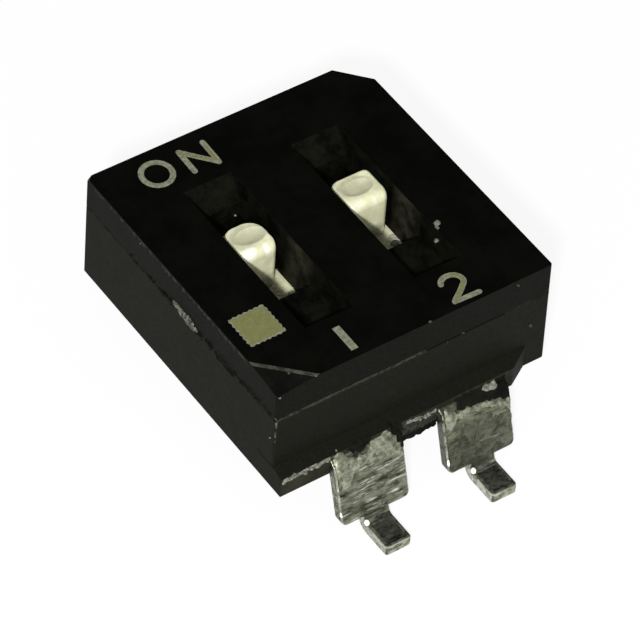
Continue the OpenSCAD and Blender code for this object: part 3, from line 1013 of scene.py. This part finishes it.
# Painted shadow: black patches over the bends of both leads, where the ledge shades them.
shadow_over_lead_1 = [(-1.74, 1.98), (-1.6, 1.79), (-1.42, 1.77), (-1.2, 1.82), (-1.14, 1.98)]
crust(heap, housing_skin, "front", shadow_over_lead_1, 0.05, seed=2)
shadow_over_lead_2 = [
    (0.86, 1.92), (0.8, 1.7), (1.0, 1.66), (1.3, 1.65), (1.55, 1.61), (1.8, 1.55), (2.05, 1.4), (2.05, 1.92),
]
crust(heap, housing_skin, "front", shadow_over_lead_2, 0.045, seed=3)
beside_lead_1 = [(-0.72, 1.98), (-0.64, 1.72), (-0.56, 1.52), (-0.44, 1.36), (-0.4, 1.6), (-0.42, 1.98)]
crust(heap, housing_skin, "front", beside_lead_1, 0.06, seed=9)
seam_line = [
    (1.75, 3.36), (1.2, 3.38), (0.5, 3.37), (-0.1, 3.4), (-0.9, 3.38), (-1.7, 3.4), (-2.5, 3.41),
    (-3.2, 3.37), (-3.2, 3.33), (-2.5, 3.31), (-1.7, 3.25), (-0.9, 3.3), (-0.1, 3.3), (0.5, 3.33),
    (1.2, 3.34), (1.75, 3.33),
]
crust(heap, housing_skin, "left", seam_line, 0.045, ragged=0.1, seed=4, soft=0.04)
flash = finish_piece(heap, "moulding_flash_and_painted_shadow", [rough_nylon], "housing", crease=60)

heap = bmesh.new()
burr = [(0.3, 3.37), (0.2, 3.46), (-0.3, 3.5), (-0.62, 3.44), (-0.76, 3.31), (-0.45, 3.25), (-0.1, 3.29)]
crust(heap, housing_skin, "left", burr, 0.08, ragged=0.06, seed=6)
nick = [(1.46, 3.93), (1.4, 3.98), (1.36, 3.97), (1.4, 3.92)]
crust(heap, housing_skin, "left", nick, 0.03, ragged=0.02, seed=7)
for place in (
    (-3.167, -3.348, 3.961), (-3.204, -3.232, 3.342), (-3.21, -3.25, 2.764), (-2.337, -3.358, 4.084),
):
    crumb(heap, housing_skin, place, 0.05)
scrapes = finish_piece(heap, "scraped_burrs", [chalky_nylon], "housing", crease=60)
print(flash.name, len(flash.data.polygons), "faces;", scrapes.name, len(scrapes.data.polygons))

# %% [markdown]
# The seam, filled with flash
#
# Most of the seam is hardly a groove at all: a thin thread of flash fills it and stands a few micrometres
# proud of the wall. The thread is a strip of small faces from just under the groove to just over it. Only on
# the front, between slot 1 and slot 2, the groove is open and shows as a dark line.

# %% Threads of flash along the seam
SEAM_BELOW = SEAM - 0.075
SEAM_ABOVE = SEAM + 0.025


def seam_thread(heap, side, start, end, seed):
    rows = []
    steps = int(abs(end - start) / 0.03)
    for i in range(steps + 1):
        along = start + (end - start) * i / steps
        low, normal, _, _ = housing_skin.ray_cast(*ray_from(side, along, SEAM_BELOW))
        high = housing_skin.ray_cast(*ray_from(side, along, SEAM_ABOVE))[0]
        proud = 0.006 + 0.008 * noise.noise(Vector((along * 5, seed, 0)))
        shift = Vector((0, 0, 0.014 * noise.noise(Vector((along * 3, seed, 7)))))
        middle = [low.lerp(high, share) + normal * proud + shift for share in (0.4, 0.6)]
        points = [low - normal * 0.002, *middle, high - normal * 0.002]
        rows.append([heap.verts.new(p) for p in points])
    for first, second in zip(rows, rows[1:]):
        for k in range(3):
            heap.faces.new((first[k], second[k], second[k + 1], first[k + 1]))


heap = bmesh.new()
seam_thread(heap, "front", -3.2, 0.25, 1)
pale_faces = len(heap.faces)
seam_thread(heap, "front", 2.1, 3.2, 3)
seam_thread(heap, "left", 3.3, -3.3, 2)
heap.faces.ensure_lookup_table()
for face in heap.faces[pale_faces:]:
    face.material_index = 1
threads = finish_piece(
    heap, "seam_flash_threads", [dulled_and_sheen_nylon, thread_nylon], "housing", crease=60
)
print(threads.name, len(threads.data.polygons), "faces")

# %% [markdown]
# Highlight and wear on the left edges
#
# A broken, pale line down the upright edge at the front left, from the seam, is a painted highlight. The long
# edge of the top on that side is a dull grey in patches, partly wear and partly painted sheen, and the ledge
# between the leads has worn to a dull grey in patches.

# %% Painted highlight on the upright edge, and dulled edges
heap = bmesh.new()
# Painted highlight: a broken pale line down the front left upright edge.
upright_highlight = [(-3.33, 3.34), (-3.3, 3.42), (-3.38, 3.38), (-3.385, 2.72), (-3.36, 2.72), (-3.35, 3.2)]
crust(heap, housing_skin, "left", upright_highlight, 0.014, cell=0.012, ragged=0.035, seed=13, soft=0.02)
painted_highlight = finish_piece(heap, "painted_highlight_on_upright_edge", [scraped_and_highlight_nylon], "housing", crease=60)

heap = bmesh.new()
# A lighter band along the top edge of the left wall: partly wear and partly painted sheen.
top_edge = [(3.1, 4.0), (3.1, 4.055), (0.0, 4.06), (-2.35, 4.055), (-2.35, 3.98), (0.0, 4.01)]
crust(heap, housing_skin, "left", top_edge, 0.006, ragged=0.1, seed=21, soft=0.03)
ledge_face = [(-0.4, 1.56), (-0.42, 1.86), (-0.2, 1.93), (0.42, 1.9), (0.44, 1.56), (0.0, 1.53)]
crust(heap, housing_skin, "front", ledge_face, 0.012, ragged=0.08, seed=22, soft=0.05)
dulled = finish_piece(heap, "dulled_edges_and_painted_sheen", [dulled_and_sheen_nylon], "housing", crease=60)
print(painted_highlight.name, len(painted_highlight.data.polygons), "faces,", dulled.name, len(dulled.data.polygons))

# %% [markdown]
# Flash under the ledge, between the leads
#
# This flash hangs free, so it isn't grown on a surface: it is a thin torn curtain, thickest where it
# meets the ledge. Its black is partly painted shadow, standing in for the shade under the ledge.

# %% Torn curtain
# The curtain's black also stands in for the shadow under the ledge.
ledge_y = base_low.y / MM
curtain = bmesh.new()
STEPS = 40
rows = []
for i in range(STEPS + 1):
    share = i / STEPS
    x = -0.56 + 0.98 * share
    hang = 0.08 + 0.06 * noise.noise(Vector((x * 9, 0, 0))) + 0.08 * math.sin(math.pi * share)
    out = 0.02 + 0.02 * noise.noise(Vector((x * 13, 5, 0)))
    rows.append(
        [
            curtain.verts.new((x, ledge_y + 0.06, UNDERSIDE + 0.02)),
            curtain.verts.new((x, ledge_y + 0.03, UNDERSIDE - hang)),
            curtain.verts.new((x, ledge_y - out, UNDERSIDE - hang * 0.6)),
            curtain.verts.new((x, ledge_y + 0.005, UNDERSIDE + 0.1)),
        ]
    )
for first, second in zip(rows, rows[1:]):
    for k in range(4):
        m = (k + 1) % 4
        curtain.faces.new((first[k], first[m], second[m], second[k]))
curtain.faces.new(rows[0][::-1])
curtain.faces.new(rows[-1])
bmesh.ops.recalc_face_normals(curtain, faces=curtain.faces)
hanging = finish_piece(curtain, "flash_and_painted_shadow_under_ledge", [rough_nylon], "housing")
print(hanging.name, len(hanging.data.polygons), "faces")

# %% [markdown]
# Crumbs and painted glints
#
# Pale crumbs lie along the ledge, beside the second lead and in the slots, and a few dull ones of nylon
# cling to the front wall. White beads in the inner corner of each front foot and on the lower left edges of
# the two plates are painted glints.

# %% Pale crumbs
heap = bmesh.new()
left_band = [
    (-3.2, 1.83), (-3.18, 1.96), (-2.9, 1.94), (-2.5, 1.95), (-2.1, 1.99), (-2.08, 1.84), (-2.6, 1.86),
]
crust(heap, housing_skin, "front", left_band, 0.04, ragged=0.05, seed=11, soft=0.04)
sprinkle(heap, housing_skin, (-3.15, -3.69, 1.92), (-2.2, -3.69, 1.93), 13, 0.03, (0.06, 0.12))
middle_band = [(-0.42, 1.82), (-0.3, 1.9), (0.1, 1.88), (0.38, 1.86), (0.36, 1.8), (0.0, 1.82)]
crust(heap, housing_skin, "front", middle_band, 0.04, ragged=0.06, seed=12, soft=0.04)
sprinkle(heap, housing_skin, (0.0, -3.69, 1.85), (0.2, -3.69, 1.85), 3, 0.03, (0.07, 0.11))
sprinkle(heap, housing_skin, (1.5, -3.7, 1.77), (1.78, -3.7, 1.78), 4, 0.03, (0.14, 0.2))
sprinkle(heap, housing_skin, (2.0, -3.7, 1.5), (2.06, -3.7, 1.42), 2, 0.02, (0.08, 0.11))
for place, size in (
    ((-0.834, 1.635, 3.26), 0.05),
    ((1.92, -1.3, 4.09), 0.13),
    ((1.96, -1.27, 4.09), 0.08),
    ((1.87, -1.36, 4.09), 0.08),
    ((1.865, -1.4, 4.09), 0.06),
    ((1.83, -1.475, 3.855), 0.11),
):
    crumb(heap, housing_skin, place, size)
pale_faces = len(heap.faces)
for place, size in (
    ((2.809, -3.382, 2.611), 0.075),
    ((0.757, -3.374, 3.282), 0.05),
    ((1.154, -3.35, 3.29), 0.06),
    ((0.3, -3.357, 4.09), 0.055),
    ((2.39, -3.366, 3.97), 0.055),
):
    crumb(heap, housing_skin, place, size)
heap.faces.ensure_lookup_table()
for face in heap.faces[pale_faces:]:
    face.material_index = 1
dust = finish_piece(
    heap, "pale_crumbs", [pale_crumbs, scraped_and_highlight_nylon], "housing", crease=60
)
print(dust.name, len(dust.data.polygons), "faces")

# %% [markdown]
# Beads and shavings
#
# The beads are smooth, white painted glints. The shavings ride with the second slider: they stick to the end
# of its deck, round one dark pellet. The deck slides under the cover with only 0.05 mm of room, so everything
# that sticks to it has been pressed flat.

# %% Beads and shavings
def bead(heap, start, end, size):
    """A smooth drop, stretched from start to end."""
    start, end = Vector(start), Vector(end)
    along = end - start
    turn = along.to_track_quat("Z", "Y").to_matrix()
    stretch = Vector((size, size, size + along.length))
    for vert in bmesh.ops.create_icosphere(heap, subdivisions=3, radius=0.5)["verts"]:
        vert.co = (start + end) / 2 + turn @ (vert.co * stretch)


# White beads that paint glints at the feet and on the plates' lower left edges.
heap = bmesh.new()
bead(heap, (-1.585, -4.33, 0.33), (-1.58, -4.34, 0.3), 0.11)
bead(heap, (0.955, -4.35, 0.35), (0.96, -4.36, 0.32), 0.11)
bead(heap, (0.46, -4.145, 0.72), (0.46, -4.175, 0.62), 0.055)
bead(heap, (-2.085, -4.13, 0.72), (-2.07, -4.17, 0.56), 0.045)
painted_glints = finish_piece(heap, "painted_glint_beads", [glint_white], "housing", crease=80)

DECK_ROOM = 0.035
deck = slider_skin.ray_cast(Vector((1.73, -0.29, 3.4)), Vector((0, 0, -1)))[0]

heap = bmesh.new()
for place, size in (
    ((1.78, -0.13, 2.77), 0.15), ((1.7, -0.17, 2.77), 0.12), ((1.84, -0.2, 2.77), 0.12),
    ((1.84, -0.4, 2.77), 0.12), ((1.79, -0.42, 2.77), 0.1), ((1.68, -0.42, 2.77), 0.1),
    ((1.74, -0.42, 2.77), 0.08),
):
    crumb(heap, slider_skin, place, size)
for vert in heap.verts:
    vert.co.z = min(vert.co.z, deck.z + DECK_ROOM * (0.8 + 0.2 * noise.noise(vert.co * 20)))
shavings = finish_piece(heap, "nylon_shavings", [grey_shavings], "slide_2", crease=60)

heap = bmesh.new()
flat = Matrix.Diagonal((1.0, 1.0, DECK_ROOM / 0.1, 1.0))
bmesh.ops.create_icosphere(heap, subdivisions=3, radius=0.1, matrix=Matrix.Translation(deck) @ flat)
pellet = finish_piece(heap, "dark_pellet", [dark_pellet_nylon], "slide_2", crease=60)
print(painted_glints.name, shavings.name, pellet.name)

# %% [markdown]
# The floor
#
# The photo shows the switch on pure white. The floor is a white sheet that the camera, and anything shiny,
# sees as white paper, while it still takes the switch's shadow.

# %% White floor
FLOOR_SIZE = 2.0
WHITE_SHARE = 0.9


def make_white_paper():
    made, tree = new_material("white_paper_sweep")
    rays = add(tree, "ShaderNodeLightPath")
    seen = add(
        tree,
        "ShaderNodeMath",
        {0: rays.outputs["Is Camera Ray"], 1: rays.outputs["Is Glossy Ray"]},
        operation="MAXIMUM",
    )
    seen_too = add(
        tree,
        "ShaderNodeMath",
        {0: seen.outputs["Value"], 1: rays.outputs["Is Transmission Ray"]},
        operation="MAXIMUM",
    )
    share = add(
        tree, "ShaderNodeMath", {0: seen_too.outputs["Value"], 1: WHITE_SHARE}, operation="MULTIPLY"
    )
    paper = add(tree, "ShaderNodeBsdfDiffuse", {"Color": linear("#fbfbfb")})
    glow = add(tree, "ShaderNodeEmission", {"Color": (1, 1, 1, 1), "Strength": 1.0})
    both = add(tree, "ShaderNodeMixShader", {0: share.outputs["Value"]})
    tree.links.new(paper.outputs["BSDF"], both.inputs[1])
    tree.links.new(glow.outputs["Emission"], both.inputs[2])
    add(tree, "ShaderNodeOutputMaterial", {"Surface": both.outputs["Shader"]})
    return made


sheet = bmesh.new()
bmesh.ops.create_grid(sheet, x_segments=1, y_segments=1, size=FLOOR_SIZE / 2)
floor_mesh = bpy.data.meshes.new("floor")
sheet.to_mesh(floor_mesh)
sheet.free()
floor_mesh.materials.append(make_white_paper())
floor = bpy.data.objects.new("floor", floor_mesh)
floor.location.z = -0.005 * MM
bpy.context.scene.collection.objects.link(floor)
print("floor", FLOOR_SIZE, "m wide")

# %% [markdown]
# The sky
#
# The light comes like that of a window at the front left: the sky is bright there and fades to almost
# nothing at the back right, which is the part that the black top face mirrors. The camera sees it white.

# %% Sky
WINDOW = Vector((-0.35, -0.85, 0.4)).normalized()

world = bpy.data.worlds.new("studio")
bpy.context.scene.world = world
world.use_nodes = True
sky = world.node_tree
sky.nodes.clear()
rays = add(sky, "ShaderNodeLightPath")
direction = add(sky, "ShaderNodeTexCoord")
facing = add(
    sky, "ShaderNodeVectorMath", {0: direction.outputs["Generated"], 1: WINDOW}, operation="DOT_PRODUCT"
)
fill = add(
    sky,
    "ShaderNodeMapRange",
    {"Value": facing.outputs["Value"], "From Min": -0.1, "From Max": 0.85, "To Min": 0.06, "To Max": 0.8},
)
strength = add(
    sky,
    "ShaderNodeMath",
    {0: rays.outputs["Is Camera Ray"], 1: fill.outputs["Result"]},
    operation="MAXIMUM",
)
light = add(sky, "ShaderNodeBackground", {"Color": (1, 1, 1, 1), "Strength": strength.outputs["Value"]})
add(sky, "ShaderNodeOutputWorld", {"Surface": light.outputs["Background"]})
print("the window is towards", [round(v, 2) for v in WINDOW])

# %% [markdown]
# The key lamp
#
# One soft lamp at the front left, near the camera, draws the highlights on the ivory knobs and the soft
# shadows in the slots.

# %% Key lamp
KEY_FROM = Vector((-0.75, -0.86, 1.0)).normalized()
KEY_DISTANCE = 150 * MM
KEY_SIZE = 9 * MM
KEY_WATTS = 0.23

lamp = bpy.data.lights.new("key", "AREA")
lamp.shape = "DISK"
lamp.size = KEY_SIZE
lamp.energy = KEY_WATTS
key = bpy.data.objects.new("key", lamp)
middle = (cad_low + cad_high) / 2
key.location = middle + KEY_FROM * KEY_DISTANCE
key.rotation_euler = (-KEY_FROM).to_track_quat("-Z", "Y").to_euler()
bpy.context.scene.collection.objects.link(key)
print("key lamp", KEY_WATTS, "W")

# %% [markdown]
# The camera
#
# The camera stands where the photo's stood: 37 degrees to the left of the front, 47 degrees up and a
# little rolled, with a long lens. These numbers were fitted to the outline of the housing.

# %% Camera
AZIMUTH = math.radians(-37.269)
ELEVATION = math.radians(46.911)
ROLL = math.radians(4.116)
DISTANCE = 84.377 * MM
AIM = Vector((-0.007, 0.002, 2.778)) * MM
PAN_RIGHT = 0.105 * MM
PAN_UP = -1.043 * MM

back = Vector(
    (
        math.sin(AZIMUTH) * math.cos(ELEVATION),
        -math.cos(AZIMUTH) * math.cos(ELEVATION),
        math.sin(ELEVATION),
    )
)
right = (-back).cross(Vector((0, 0, 1))).normalized()
up = right.cross(-back)
rolled_right = right * math.cos(ROLL) + up * math.sin(ROLL)
rolled_up = -right * math.sin(ROLL) + up * math.cos(ROLL)

camera_data = bpy.data.cameras.new("camera")
camera_data.lens = 240.668
camera_data.sensor_width = 36.0
camera_data.clip_start = 1 * MM
camera_data.clip_end = 10.0
camera = bpy.data.objects.new("camera", camera_data)
turn = Matrix((rolled_right, rolled_up, back)).transposed()
camera.matrix_world = Matrix.Translation(
    AIM + back * DISTANCE + rolled_right * PAN_RIGHT + rolled_up * PAN_UP
) @ turn.to_4x4()
bpy.context.scene.collection.objects.link(camera)
bpy.context.scene.camera = camera
bpy.context.scene.view_settings.view_transform = "Standard"
print("camera", round(camera_data.lens), "mm lens")
